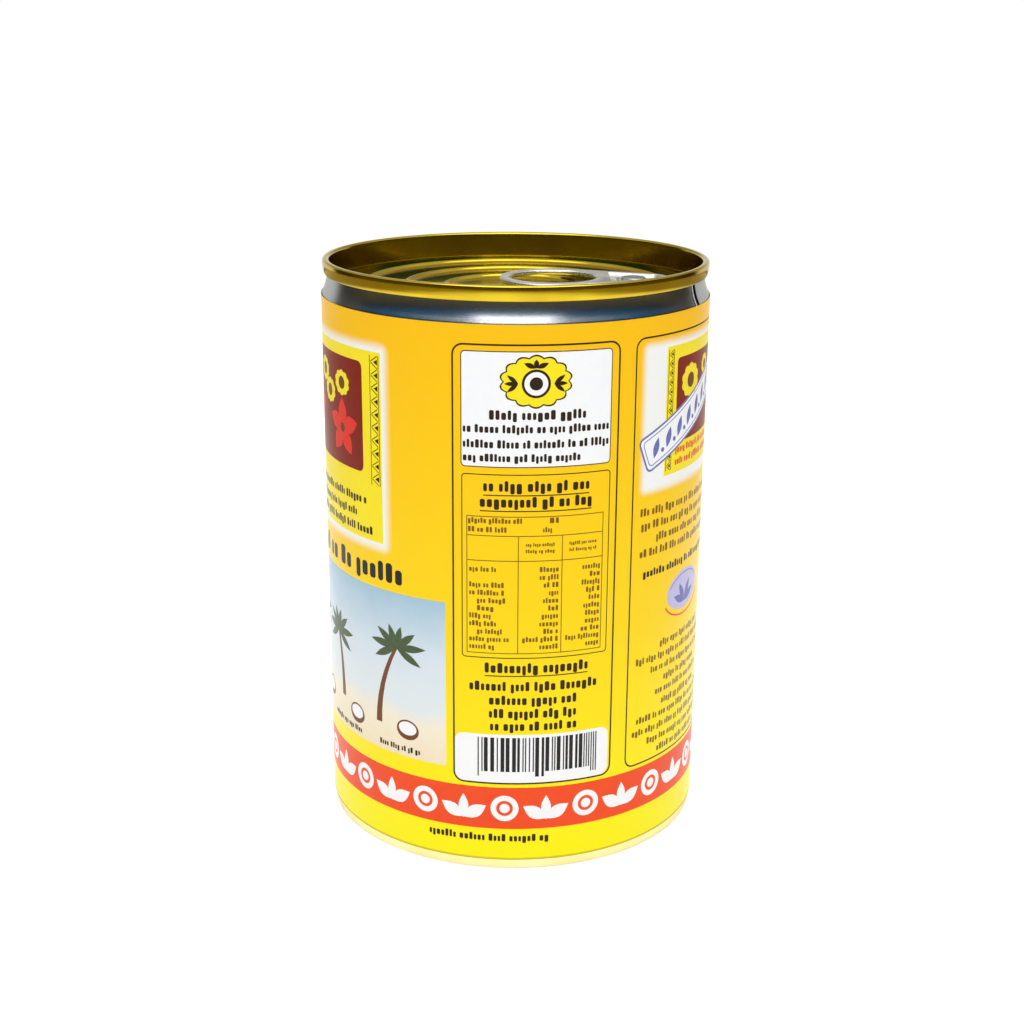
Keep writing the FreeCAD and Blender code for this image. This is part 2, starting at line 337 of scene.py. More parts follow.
def stepped(level, rings, step, climb):
    """Outline of rings that each step down towards the axis, with a slight climb after each."""
    corners = []
    for radius in rings:
        corners += [(radius, level, RING_ROUND), (radius - step, level - step, RING_ROUND)]
        level += climb - step
    return corners + [(0, level - climb, 0)]


base_panel = [(BASE_PANEL, BASE_DEPTH, 0.2)] + stepped(BASE_DEPTH, BASE_RINGS, BASE_STEP, BASE_CLIMB)
upside_down = [(radius, -height, rounding)
               for radius, height, rounding in seamed_end(BOTTOM_NECK, BASE_GROOVE, base_panel)]
bottom = spun("bottom_end_pressed", upside_down)
even_shading(bottom)
# Paler than the lid's gold: a painted reflection of the bright table under the seam it stands on.
bottom.data.materials.append(lacquered("lacquered_tinplate_painted_pale", "#EBDC98", "#F4E8B0"))
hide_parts("bottom_end")
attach(bottom, "root")


# ----------------------------------------------------------------------
# Easy-open lid. The same gold sheet, pressed with three rings that step down to the middle
# and scored near its edge, where it tears. The double seam holds it to the wall.

LID_DEPTH = -4.5
LID_GROOVE = -5.75
LID_PANEL = 33.297
LID_RINGS = (28.297, 20.797, 13.297)
LID_STEP = 0.60
LID_CLIMB = 0.23
SCORE_RADIUS = 31.80
SCORE_WIDTH = 0.28
SCORE_DEPTH = 0.07

lid_panel = [
    (LID_PANEL, LID_DEPTH, 0.2),
    (SCORE_RADIUS + SCORE_WIDTH / 2, LID_DEPTH, 0),
    (SCORE_RADIUS, LID_DEPTH - SCORE_DEPTH, 0),
    (SCORE_RADIUS - SCORE_WIDTH / 2, LID_DEPTH, 0),
] + stepped(LID_DEPTH, LID_RINGS, LID_STEP, LID_CLIMB)
raised = [(radius, height + CAN_HEIGHT, rounding)
          for radius, height, rounding in seamed_end(TOP_NECK, LID_GROOVE, lid_panel)]
lid = spun("easy_open_lid", raised)
even_shading(lid)
lid.data.materials.append(lacquered("gold_lacquered_tinplate", "#C6A60A", "#D8BC12"))
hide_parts("top_end")
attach(lid, "root")


# ----------------------------------------------------------------------
# Rivet. It is drawn up out of the lid's own sheet, so it needs no hole, and its head is
# pressed flat over the tongue of the ring pull.

RIVET_PLACE = 22.297
RIVET_FOOT = 103.7
RIVET_SHOULDER = 104.18
PULL_WEB = 0.45
HEAD_TALL = 0.50
DIMPLE = 0.18

head = RIVET_SHOULDER + PULL_WEB
crown = head + HEAD_TALL
rivet = spun("lid_rivet", [
    (0, RIVET_FOOT, 0),
    (3.4, RIVET_FOOT, 0),
    (3.2, RIVET_SHOULDER, 0.15),
    (1.6, RIVET_SHOULDER, 0),
    (1.6, head, 0),
    (2.4, head, 0.15),
    (2.35, crown, 0.2),
    (1.2, crown, 0.2),
    (0.9, crown - DIMPLE, 0.2),
    (0, crown - DIMPLE, 0),
], steps=48, centre=RIVET_PLACE)
even_shading(rivet)
# Bare tinplate instead of the lid's gold: a painted highlight, so the rivet head shows pale.
rivet.data.materials.append(tinplate)
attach(rivet, "root")


# ----------------------------------------------------------------------
# Ring pull. Aluminium strip blanked to a pear, with its edge and finger hole curled under
# into a smooth roll, and a thin web whose cut tongue the rivet holds.

# Mill-finish aluminium: a bright neutral metal, drawn lines along the strip, soft highlights.
# The lines are drawn 0.25 mm apart, coarser than they are, so that they show.
aluminium, place = new_material("aluminium_mill_finish")
line_way = add(aluminium, "Mapping", {"Scale": (0.08, 1.0, 1.0)}, place)
lines = add(aluminium, "TexNoise", {"Scale": 1 / (0.25 * MM), "Detail": 3.0},
            {"Vector": line_way.outputs["Vector"]})
tint = add(aluminium, "ValToRGB", links={"Fac": lines.outputs["Fac"]},
           stops=((0.0, "#DCDDDF"), (1.0, "#F0F1F2")))
metal_finish(aluminium, tint, lines, (0.20, 0.32), 0.2, {})

# The CAD's own rolled edge, its split points joined so that it shades as one smooth surface.
bm = bmesh.new()
bm.from_mesh(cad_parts["pull_tab"].data)
bmesh.ops.remove_doubles(bm, verts=bm.verts[:], dist=0.001 * MM)
tab = finished("ring_pull", bm, crease=40)
even_shading(tab)
tab.data.materials.append(aluminium)
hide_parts("pull_tab")
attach(tab, "root")


# ----------------------------------------------------------------------
# Paper sleeve. Gloss-coated label paper, printed flat, then rolled round the can and glued
# to itself along one upright overlap at the back left.

PAPER_RADIUS = 36.70
PAPER_GAUGE = 0.07
PAPER_FOOT = 1.93
PAPER_TOP = 102.5
LAP_WIDTH = 9.0
LAP_START = -91.1
LAP_EASE = 1.4
GLUE = 0.03
COLUMN = 0.64
TURN_LENGTH = 2 * math.pi * PAPER_RADIUS
LABEL_END = LAP_START + TURN_LENGTH + LAP_WIDTH


def climb(along):
    """How far the paper has risen over its own first edge, along mm round from the front."""
    over = (along - (LAP_START + TURN_LENGTH - LAP_EASE)) / LAP_EASE
    over = min(max(over, 0.0), 1.0)
    return (PAPER_GAUGE + GLUE) * over * over * (3 - 2 * over)


def wrapped(bm, lift=0.0, thickness=0.0):
    """Roll a flat drawing, in mm round and up, on to the can, lift mm off the paper's face.

    It is first cut into narrow columns, so that it bends round evenly.
    """
    low = min(v.co.x for v in bm.verts)
    high = max(v.co.x for v in bm.verts)
    for column in range(math.floor(low / COLUMN) + 1, math.ceil(high / COLUMN)):
        bmesh.ops.bisect_plane(bm, geom=bm.verts[:] + bm.edges[:] + bm.faces[:], dist=0.0001,
                               plane_co=(column * COLUMN, 0, 0), plane_no=(1, 0, 0))
    for v in bm.verts:
        turn = v.co.x / PAPER_RADIUS
        radius = PAPER_RADIUS + climb(v.co.x) + lift
        v.co = Vector((radius * math.sin(turn), -radius * math.cos(turn), v.co.y)) * MM
    bm.normal_update()
    bmesh.ops.solidify(bm, geom=bm.faces[:], thickness=thickness * MM)
    return bm


def box(bm, left, foot, right, top, corner=0.0, segments=4):
    """A flat rectangle, its corners rounded if corner is given."""
    made = bmesh.ops.create_grid(bm, x_segments=1, y_segments=1, size=0.5)["verts"]
    bmesh.ops.scale(bm, verts=made, vec=(right - left, top - foot, 1))
    bmesh.ops.translate(bm, verts=made, vec=((left + right) / 2, (foot + top) / 2, 0))
    if corner:
        bmesh.ops.bevel(bm, geom=made, offset=corner, offset_type="OFFSET", segments=segments,
                        profile=0.5, affect="VERTICES", material=-1)


# Thin clear varnish over paper and inks: it mirrors little and pales where the label turns away.
VARNISH = {"IOR": 1.5, "Specular IOR Level": 0.22, "Sheen Weight": 0.3, "Sheen Roughness": 0.25}

# Gloss-coated paper with a flat yellow ground: warm golden yellow that lightens to lemon
# towards the foot, partly the print and partly painted light bounced up from the white table,
# a faint cloudiness in the ink, and a painted shade along the cut edge where the foot curls in
# above the seam. Where a mesh has the glow attribute, the ground gives way to white. The
# paper's fibre is drawn 0.3 mm coarse so that it shows.
paper, place = new_material("label_paper_yellow_ground")
height = add(paper, "SeparateXYZ", links=place)
# Golden at the top to lemon at the foot: part print, part painted light bounced up from the table.
share = add(paper, "MapRange", {"From Min": 2 * MM, "From Max": 102 * MM},
            {"Value": height.outputs["Z"]})
ground = add(paper, "ValToRGB", links={"Fac": share.outputs["Result"]},
             stops=((0.0, "#FFF600"), (0.45, "#FFD900"), (1.0, "#FFC400")))
cloud = add(paper, "TexNoise", {"Scale": 1 / (6 * MM), "Detail": 4.0}, place)
cloud_share = add(paper, "MapRange", {"To Max": 0.10}, {"Value": cloud.outputs["Fac"]})
mottle = add(paper, "Mix", {"data_type": "RGBA", "blend_type": "MULTIPLY", 7: linear("#FFE9C0")},
             {0: cloud_share.outputs["Result"], 6: ground.outputs["Color"]})
# Painted shade: the ground darkens along the cut edge at the foot, just above the seam.
painted_foot_shade = add(paper, "MapRange", {"From Min": 2.45 * MM, "From Max": 1.95 * MM},
                 {"Value": height.outputs["Z"]})
shaded = add(paper, "Mix", {"data_type": "RGBA", "blend_type": "MULTIPLY", 7: linear("#B8A456")},
             {0: painted_foot_shade.outputs["Result"], 6: mottle.outputs[2]})
bare = add(paper, "Attribute", {"attribute_name": "glow"})
soft = add(paper, "MapRange", {"interpolation_type": "SMOOTHSTEP"}, {"Value": bare.outputs["Fac"]})
glowing = add(paper, "Mix", {"data_type": "RGBA", 7: linear("#F7F8F4")},
              {0: soft.outputs["Result"], 6: shaded.outputs[2]})
fibre = add(paper, "TexNoise", {"Scale": 1 / (0.3 * MM), "Detail": 3.0}, place)
relief = add(paper, "Bump", {"Strength": 0.08, "Distance": 0.02 * MM},
             {"Height": fibre.outputs["Fac"]})
coated = add(paper, "BsdfPrincipled", {"Roughness": 0.38, **VARNISH},
             {"Base Color": glowing.outputs[2], "Normal": relief.outputs["Normal"]})
add(paper, "OutputMaterial", links={"Surface": coated.outputs["BSDF"]})

bm = bmesh.new()
box(bm, LAP_START, PAPER_FOOT, LABEL_END, PAPER_TOP)
sleeve = finished("paper_sleeve", wrapped(bm, thickness=PAPER_GAUGE), crease=40)
sleeve.data.materials.append(paper)
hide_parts("paper_label")
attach(sleeve, "root")


# ----------------------------------------------------------------------
# Foot band. A broad orange-red band printed right round the foot of the label, with a row of
# white coconut halves and leaf pairs reversed out of it. Each ink is its own thin layer.

INK = 0.006
INK_STEP = 0.008
LABEL_START = LAP_START + LAP_WIDTH
TUCK = 1.5
BAND_FOOT = 8.3
BAND_TOP = 16.7
BAND_MOTIFS = 30


def ink(name, first, second, size=1.6):
    """Offset ink on coated paper: two close shades in soft clouds, and the paper's own shine."""
    material, place = new_material(name)
    cloud = add(material, "TexNoise", {"Scale": 1 / (size * MM), "Detail": 4.0}, place)
    shade = add(material, "Mix", {"data_type": "RGBA", 6: linear(first), 7: linear(second)},
                {0: cloud.outputs["Fac"]})
    fibre = add(material, "TexNoise", {"Scale": 1 / (0.3 * MM), "Detail": 3.0}, place)
    gloss = add(material, "MapRange", {"To Min": 0.34, "To Max": 0.44},
                {"Value": fibre.outputs["Fac"]})
    relief = add(material, "Bump", {"Strength": 0.08, "Distance": 0.02 * MM},
                 {"Height": fibre.outputs["Fac"]})
    film = add(material, "BsdfPrincipled", VARNISH,
               {"Base Color": shade.outputs[2], "Roughness": gloss.outputs["Result"],
                "Normal": relief.outputs["Normal"]})
    add(material, "OutputMaterial", links={"Surface": film.outputs["BSDF"]})
    return material


def printed(name, bm, material, layer):
    """Wrap a flat drawing on to the label as the given layer of ink, counted from the paper."""
    piece = finished(name, wrapped(bm, lift=layer * INK_STEP, thickness=INK), crease=40)
    piece.data.materials.append(material)
    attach(piece, "root")


def patch(name, material, layer, left, foot, right, top, corner=0.0):
    """A plain printed rectangle, its corners rounded if corner is given."""
    bm = bmesh.new()
    box(bm, left, foot, right, top, corner)
    printed(name, bm, material, layer)


def shape(bm, points):
    """A flat face through the points, facing out of the label."""
    face = bm.faces.new([bm.verts.new((along, up, 0)) for along, up in points])
    face.normal_update()
    if face.normal.z < 0:
        face.normal_flip()


def disc(bm, along, up, across, tall=None, steps=28):
    """A flat disc or oval of half sizes across and tall."""
    made = bmesh.ops.create_circle(bm, cap_ends=True, segments=steps, radius=1.0)["verts"]
    bmesh.ops.scale(bm, verts=made, vec=(across, tall or across, 1))
    bmesh.ops.translate(bm, verts=made, vec=(along, up, 0))


def add_outline(bm, flat, width):
    """Add the outer width mm of a one-faced drawing to this one."""
    middle = flat.faces[:]
    bmesh.ops.inset_region(flat, faces=middle, thickness=width, use_even_offset=True,
                           use_boundary=True)
    bmesh.ops.delete(flat, geom=middle, context="FACES")
    mesh = bpy.data.meshes.new("outline")
    flat.to_mesh(mesh)
    flat.free()
    bm.from_mesh(mesh)
    bpy.data.meshes.remove(mesh)


def ring(bm, along, up, outer, inner, steps=28):
    """A flat ring."""
    flat = bmesh.new()
    disc(flat, along, up, outer, steps=steps)
    add_outline(bm, flat, (outer - inner) * math.cos(math.pi / steps))


def leaf(bm, along, up, length, width, turn, steps=7):
    """A pointed leaf from its foot at (along, up), leaning turn degrees from level."""
    edge = [(step / steps, math.sin(math.pi * step / steps)) for step in range(steps + 1)]
    flat = [(length * t, -width / 2 * bulge) for t, bulge in edge]
    flat += [(length * t, width / 2 * bulge) for t, bulge in reversed(edge[1:-1])]
    lean = math.radians(turn)
    shape(bm, [(along + x * math.cos(lean) - y * math.sin(lean),
                up + x * math.sin(lean) + y * math.cos(lean)) for x, y in flat])


orange_ink = ink("ink_orange_red", "#F0481C", "#F5521F")
white_ink = ink("ink_opaque_white", "#F4F6F9", "#FCFCFC")

patch("print_foot_band", orange_ink, 1, LABEL_START - TUCK, BAND_FOOT, LABEL_END, BAND_TOP)

bm = bmesh.new()
middle = (BAND_FOOT + BAND_TOP) / 2
for motif in range(BAND_MOTIFS):
    along = LABEL_START + (motif + 0.5) * TURN_LENGTH / BAND_MOTIFS
    if motif % 2:
        for lean in (32, 148):
            leaf(bm, along, middle - 2.2, length=5.0, width=2.5, turn=lean)
        leaf(bm, along, middle - 2.4, length=4.9, width=1.9, turn=90)
    else:
        ring(bm, along, middle, outer=2.6, inner=1.55)
        disc(bm, along, middle, 0.95)
printed("print_band_ornament", bm, white_ink, 2)


# ----------------------------------------------------------------------
# Front panel. A thin dark rule frames a tall panel, with a white notice box at its head, a
# medallion, and rows of small upright blocks where a real label carries words.

# From here on a panel is (left, foot, right, top) and a row (left, right, foot, tall), in mm
# round from the front and up.
PANEL = (-11.0, 17.4, 19.0, 99.2)
PANEL_CORNER = 2.0
NOTICE = (-9.4, 77.6, 17.4, 98.0)
NOTICE_CORNER = 0.8
NOTICE_ROWS = ((-4.4, 12.5, 86.1, 1.25), (-9.0, 16.9, 83.75, 1.1),
               (-9.0, 16.9, 81.05, 1.1), (-9.0, 11.6, 78.65, 1.05))
CREST = (3.65, 92.4)
CREST_RISE = 0.35
RULE = 0.30
FINE_RULE = 0.16
BLOCK_GAP = 0.22
BLOCK_WIDTHS = (0.42, 0.5, 0.6)
BLOCK_REACHES = (0, 0, 0, 0.34, 0.34, -0.3)
dice = random.Random(11)

dark_ink = ink("ink_dark_brown", "#2B1B0A", "#38260F")
yellow_ink = ink("ink_lemon_yellow", "#FBE312", "#FFEA22")
brown_ink = ink("ink_coconut_brown", "#6B3A18", "#7E4A22", size=0.5)


def rule_box(bm, left, foot, right, top, corner, width, segments=6):
    """The thin printed outline of a rounded box, width mm inwards from its edge."""
    flat = bmesh.new()
    box(flat, left, foot, right, top, corner, segments)
    add_outline(bm, flat, width)


def words(bm, left, right, foot, tall, longest=7):
    """A row of small upright blocks in groups of uneven length, which stands for a line of words.

    A block's width and how far it reaches past the row are shares of the row's height.
    """
    room = right - left
    gap = BLOCK_GAP * tall
    blocks = []
    end = -gap
    while end + 4 * gap + 0.4 * tall <= room:
        start = end + (3 * gap if blocks else gap)
        for _ in range(dice.randint(2, longest)):
            wide = tall * dice.choice(BLOCK_WIDTHS)
            if start + wide < room + 0.3 * tall:
                blocks.append((start, wide, tall * dice.choice(BLOCK_REACHES)))
                end = start + wide
                start = end + gap
    share = room / end
    for start, wide, reach in blocks:
        at = left + start * share
        box(bm, at, foot + min(reach, 0), at + wide * share, foot + tall + max(reach, 0),
            corner=0.14 * tall, segments=1)


def medallion(bm, along, up, across, tall, lobes, depth):
    """A scalloped oval, cut in by depth, a share of its size, between its lobes."""
    steps = lobes * 6
    turns = [2 * math.pi * step / steps for step in range(steps)]
    reach = [1 - depth + depth * abs(math.sin(lobes * t / 2)) for t in turns]
    shape(bm, [(along + across * r * math.cos(t), up + tall * r * math.sin(t))
               for r, t in zip(reach, turns)])


patch("print_notice_box", white_ink, 1, *NOTICE, NOTICE_CORNER)

along, up = CREST
bm = bmesh.new()
medallion(bm, along, up + CREST_RISE, 6.4, 4.7, lobes=14, depth=0.10)
printed("print_medallion_edge", bm, dark_ink, 2)
bm = bmesh.new()
medallion(bm, along, up + CREST_RISE, 6.1, 4.4, lobes=14, depth=0.10)
printed("print_medallion", bm, yellow_ink, 3)

bm = bmesh.new()
disc(bm, along, up, 2.5)
for lean, length in ((22, 2.3), (90, 1.5), (158, 2.3)):
    leaf(bm, along, up + 2.7, length, width=0.9, turn=lean)
for side, lean in ((-3.1, 180), (3.1, 0)):
    for turn in (-38, 0, 38):
        leaf(bm, along + side, up, length=2.4, width=0.75, turn=lean + turn)
rule_box(bm, *PANEL, PANEL_CORNER, RULE)
rule_box(bm, *NOTICE, NOTICE_CORNER, FINE_RULE)
for row in NOTICE_ROWS:
    words(bm, *row)
printed("print_panel_rules", bm, dark_ink, 4)
bm = bmesh.new()
ring(bm, along, up, outer=2.05, inner=1.15)
printed("print_medallion_coconut", bm, white_ink, 5)


# ----------------------------------------------------------------------
# Contents table. A ruled box of small brown print under two headings, then a third heading
# with four bold rows under it, all printed in small upright blocks.

TABLE = (-9.3, 42.2, 17.5, 76.4)
HEADINGS = ((-5.4, 13.4, 73.3, 72.6), (-6.0, 13.9, 70.45, 69.75), (-5.1, 13.8, 39.4, 38.8))
HEADING_TALL = 1.45
BOLD_ROWS = ((-7.9, 15.6, 35.9), (-4.3, 11.7, 33.2), (-4.3, 11.7, 30.6), (-4.1, 11.8, 28.1))
BOLD_TALL = 1.35
GRID = (-8.4, 43.1, 16.3, 68.8)
GRID_LINES = (65.2, 60.6)
GRID_COLUMNS = (0.8, 8.6)
HEAD_ROWS = ((67.5, 1.4, 6.8), (65.85, -1.3, 5.6))
COLUMN_HEADS = ((2.1, 7.2), (9.9, 15.0))
FIRST_ROW = 58.52
ROW_PITCH = 1.46
ROW_TALL = 0.75
ROW_COUNT = 11
UNNAMED_ROW = 1
INDENTED_ROWS = (4, 5, 8)
LONG_ROW = 9
VALUE_ENDS = (8.0, 15.8)

fine_ink = ink("ink_fine_brown", "#7A520C", "#8A6010", size=0.4)


def heading(bm, left, right, foot, tall, underline):
    """A row of long groups of blocks, underlined."""
    words(bm, left, right, foot, tall, longest=9)
    box(bm, left, underline - 0.10, right, underline + 0.10)


bm = bmesh.new()
rule_box(bm, *TABLE, corner=0.7, width=0.18)
for left, right, foot, underline in HEADINGS:
    heading(bm, left, right, foot, HEADING_TALL, underline)
for left, right, foot in BOLD_ROWS:
    words(bm, left, right, foot, BOLD_TALL)
printed("print_headings", bm, dark_ink, 1)

bm = bmesh.new()
rule_box(bm, *GRID, corner=0.0, width=FINE_RULE)
for up in GRID_LINES:
    box(bm, GRID[0], up - FINE_RULE / 2, GRID[2], up + FINE_RULE / 2)
for along in GRID_COLUMNS:
    box(bm, along - FINE_RULE / 2, GRID[1], along + FINE_RULE / 2, GRID_LINES[0])
for up, stop, value in HEAD_ROWS:
    words(bm, -8.1, stop, up, ROW_TALL)
    words(bm, value - 0.5, value + 1.1, up, ROW_TALL, longest=9)
for up in (63.3, 62.1):
    for left, right in COLUMN_HEADS:
        words(bm, left, right, up, 0.5)
for row in range(ROW_COUNT):
    up = FIRST_ROW - row * ROW_PITCH
    left = -6.5 if row in INDENTED_ROWS else -7.9
    if row != UNNAMED_ROW:
        words(bm, left, dice.uniform(-4.4, -0.8), up, ROW_TALL)
    for right in VALUE_ENDS:
        length = 6.4 if row == LONG_ROW else dice.uniform(1.5, 3.6)
        words(bm, right - length, right, up, ROW_TALL, longest=9)
printed("print_table", bm, fine_ink, 1)


# ----------------------------------------------------------------------
# Stripe field. A white patch at the foot of the panel with upright black bars of uneven
# width, as a till reads, three of them longer than the rest, and no figures.

STRIPES = (-6.4, 16.1)
STRIPE_FOOT = 19.9
STRIPE_TOP = 26.7
LONGER = 1.0
MODULE = 0.235
STRIPE_PATCH = (PANEL[0] + RULE, PANEL[1] + RULE, 18.3, 27.3)

black_ink = ink("ink_warm_black", "#1A1716", "#262220")

patch("print_stripe_field", white_ink, 1, *STRIPE_PATCH, corner=1.6)

bm = bmesh.new()
at = STRIPES[0]
guards = (STRIPES[0], sum(STRIPES) / 2, STRIPES[1] - 4 * MODULE)
while at < STRIPES[1]:
    wide = MODULE * dice.choice((1, 1, 2, 3))
    guard = any(abs(at - start) < 3 * MODULE for start in guards)
    box(bm, at, STRIPE_FOOT - (LONGER if guard else 0), min(at + wide, STRIPES[1]), STRIPE_TOP)
    at += wide + MODULE * dice.choice((1, 1, 2))
printed("print_stripes", bm, black_ink, 2)


# ----------------------------------------------------------------------
# Left panels. A square yellow panel inside a soft white glow, with zigzag borders and a maroon
# field of red flowers; below it a bold heading and a beach picture with palms and coconuts.

# A flower is (along, up, size, centre), a blossom (along, up, across, tall, lobes, centre), a
# palm (along, foot, tall, lean) and a coconut (along, up).
LEFT_SQUARE = (-66.0, 60.8, -25.6, 95.8)
LEFT_FIELD = (-61.0, 73.3, -30.6, 93.6)
LEFT_BORDERS = ((-28.3, -26.1), (-65.5, -63.3))
LEFT_ROWS = ((-60.0, -30.0, 67.5), (-56.0, -33.0, 64.7), (-60.0, -28.4, 61.9))
LEFT_FLOWERS = ((-37.6, 80.3, 5.6, 0.9), (-52.5, 82.0, 4.6, 0.8))
LEFT_BLOSSOMS = tuple((along, up, 2.9, 2.4, 10, 1.2)
                      for along, up in ((-37.6, 88.6), (-43.5, 86.2), (-47.0, 89.6)))
PICTURE = (-63.0, 20.1, -12.4, 52.1)
LEFT_PALMS = ((-27.5, 25.5, 16.0, 4.6), (-40.0, 26.5, 13.0, -2.0), (-56.0, 25.0, 16.0, 1.0))
LEFT_COCONUTS = ((-20.5, 25.6), (-34.5, 24.8), (-48.5, 25.4))
CAPTIONS = ((-27.4, -17.8, 21.1, 0.85), (-45.0, -33.0, 21.1, 0.85), (-15.9, 6.8, 5.75, 1.1))

maroon_ink = ink("ink_maroon", "#7C1B10", "#8E2415")
red_ink = ink("ink_flower_red", "#E0271C", "#EC3A26")
green_ink = ink("ink_leaf_green", "#3E4F35", "#55673F", size=0.6)

# Sky and sand in one run of ink: pale blue above, paling to cream by the foot.
sky_ink, place = new_material("ink_sky_to_sand")
height = add(sky_ink, "SeparateXYZ", links=place)
share = add(sky_ink, "MapRange", {"From Min": PICTURE[1] * MM, "From Max": PICTURE[3] * MM},
            {"Value": height.outputs["Z"]})
drift = add(sky_ink, "TexNoise", {"Scale": 1 / (7 * MM), "Detail": 4.0}, place)
blown = add(sky_ink, "Math", {"operation": "MULTIPLY_ADD", 1: 0.16, 2: -0.08},
            {0: drift.outputs["Fac"]})
where = add(sky_ink, "Math", {"operation": "ADD"}, {0: share.outputs["Result"], 1: blown.outputs[0]})
sky = add(sky_ink, "ValToRGB", links={"Fac": where.outputs[0]},
          stops=((0.0, "#F3E4C2"), (0.22, "#F6ECD4"), (0.34, "#E2EAEC"),
                 (0.65, "#D6E3EC"), (1.0, "#A6C6D8")))
film = add(sky_ink, "BsdfPrincipled", {"Roughness": 0.38, **VARNISH},
           {"Base Color": sky.outputs["Color"]})
add(sky_ink, "OutputMaterial", links={"Surface": film.outputs["BSDF"]})


def glow_round(name, left, foot, right, top, spread):
    """A soft white glow round a panel: full at its edge and gone spread mm outside it."""
    bm = bmesh.new()
    amount = bm.verts.layers.float.new("glow")
    box(bm, left - spread, foot - spread, right + spread, top + spread, spread, 5)
    inner = bm.faces[:]
    bmesh.ops.inset_region(bm, faces=inner, thickness=spread * 0.98, use_even_offset=True,
                           use_boundary=True)
    for v in inner[0].verts:
        v[amount] = 1.0
    printed(name, bm, paper, 1)


def bright_square(side, ground, square, field, spread, corner):
    """A yellow square on a glowing ground, with a round-cornered maroon field in it."""
    glow_round(f"print_{side}_glow", *ground, spread)
    patch(f"print_{side}_square", yellow_ink, 2, *square)
    patch(f"print_{side}_field", maroon_ink, 3, *field, corner)


def stroke(bm, path, width=FINE_RULE):
    """A thin line through the points of a path."""
    for (x, y), (next_x, next_y) in zip(path, path[1:]):
        reach = math.hypot(next_x - x, next_y - y)
        aside = Vector((y - next_y, next_x - x)) * width / (2 * reach)
        shape(bm, [(x + aside.x, y + aside.y), (x - aside.x, y - aside.y),
                   (next_x - aside.x, next_y - aside.y), (next_x + aside.x, next_y + aside.y)])


def zigzag(bm, left, right, foot, top):
    """A traditional border: a zigzag with small triangles in it, between two upright rules."""
    gap = 0.3
    inside = right - 0.8 * gap
    reach = 0.45 * (right - left)
    count = 2 * round((top - foot) / (right - left) / 1.1)
    pitch = (top - foot) / count
    for along in (left, right):
        box(bm, along - FINE_RULE / 2, foot, along + FINE_RULE / 2, top)
    for tooth in range(count):
        up = foot + tooth * pitch
        start, end = (left + gap, right - gap) if tooth % 2 else (right - gap, left + gap)
        stroke(bm, [(start, up + 0.08), (end, up + pitch - 0.08)])
        if tooth % 2 == 0:
            shape(bm, [(inside, up + 0.55 * pitch), (inside, up + 1.45 * pitch),
                       (inside - reach, up + pitch)])


def flower(bm, along, up, size):
    """Five broad petals."""
    for petal in range(5):
        leaf(bm, along, up, size, size * 0.58, 90 + petal * 72, steps=9)


def blooms(side, flowers, blossoms, steps=28):
    """Red flowers and yellow scalloped blossoms, each with a brown centre."""
    if flowers:
        bm = bmesh.new()
        for along, up, size, _ in flowers:
            flower(bm, along, up, size)
        printed(f"print_{side}_flowers", bm, red_ink, 4)
    bm = bmesh.new()
    for along, up, across, tall, lobes, _ in blossoms:
        medallion(bm, along, up, across, tall, lobes, depth=1.2 / lobes)
    printed(f"print_{side}_blossom", bm, yellow_ink, 4)
    bm = bmesh.new()
    for along, up, *_, centre in blossoms + flowers:
        disc(bm, along, up, centre, steps=steps)
    printed(f"print_{side}_centres", bm, brown_ink, 5)


def palm(trunk, crown, along, foot, tall, lean):
    """A palm: a trunk that leans and narrows, and a crown of drooping leaves."""
    steps = 6
    path = [(along + lean * (n / steps) ** 2, foot + tall * n / steps, 0.75 - 0.35 * n / steps)
            for n in range(steps + 1)]
    edge = [(x + half, y) for x, y, half in path] + [(x - half, y) for x, y, half in reversed(path)]
    shape(trunk, edge)
    head, top = path[-1][:2]
    for turn, size in ((-28, 6.2), (6, 6.6), (38, 5.4), (75, 4.4),
                       (112, 4.6), (146, 5.6), (176, 6.4), (207, 6.0)):
        leaf(crown, head, top, size, 1.5, turn)


def beach(names, sky, palms, coconuts, shell, flesh):
    """A sky and sand picture with palms and halved coconuts.

    Names start its pieces' names. Shell is a coconut's half sizes (across, tall), and flesh is
    (across, tall, rise), where rise is how far its middle lies above the shell's.
    """
    picture, grove, nuts = names
    patch(picture, sky_ink, 1, *sky)
    trunks = bmesh.new()
    crowns = bmesh.new()
    for place in palms:
        palm(trunks, crowns, *place)
    printed(grove + "_trunks", trunks, brown_ink, 2)
    printed(grove + "_crowns", crowns, green_ink, 3)
    for part, material, layer, size in (("_shells", brown_ink, 3, (*shell, 0)),
                                        ("_flesh", white_ink, 4, flesh)):
        across, tall, rise = size
        bm = bmesh.new()
        for along, up in coconuts:
            disc(bm, along, up + rise, across, tall)
        printed(nuts + part, bm, material, layer)


bright_square("left", LEFT_SQUARE, LEFT_SQUARE, LEFT_FIELD, spread=2.4, corner=1.2)

bm = bmesh.new()
for left, right in LEFT_BORDERS:
    zigzag(bm, left, right, 71.5, 95.2)
for left, right, foot in LEFT_ROWS:
    words(bm, left, right, foot, 1.15)
printed("print_left_borders", bm, dark_ink, 3)
blooms("left", LEFT_FLOWERS, LEFT_BLOSSOMS, steps=16)

bm = bmesh.new()
words(bm, -62.0, -35.6, 53.7, 2.8, longest=4)
words(bm, -33.6, -21.3, 53.7, 2.8, longest=9)
printed("print_left_heading", bm, black_ink, 1)

beach(("print_picture", "print_palm", "print_coconut"), PICTURE, LEFT_PALMS, LEFT_COCONUTS,
      shell=(2.5, 2.0), flesh=(2.0, 1.35, 0.3))

bm = bmesh.new()
for row in CAPTIONS:
    words(bm, *row)
printed("print_captions", bm, dark_ink, 3)


# ----------------------------------------------------------------------
# Right panel. The same thin rule round a panel with a white-glowing square at its head, a
# slanting stamped band, small rows of brown print and a pale oval.

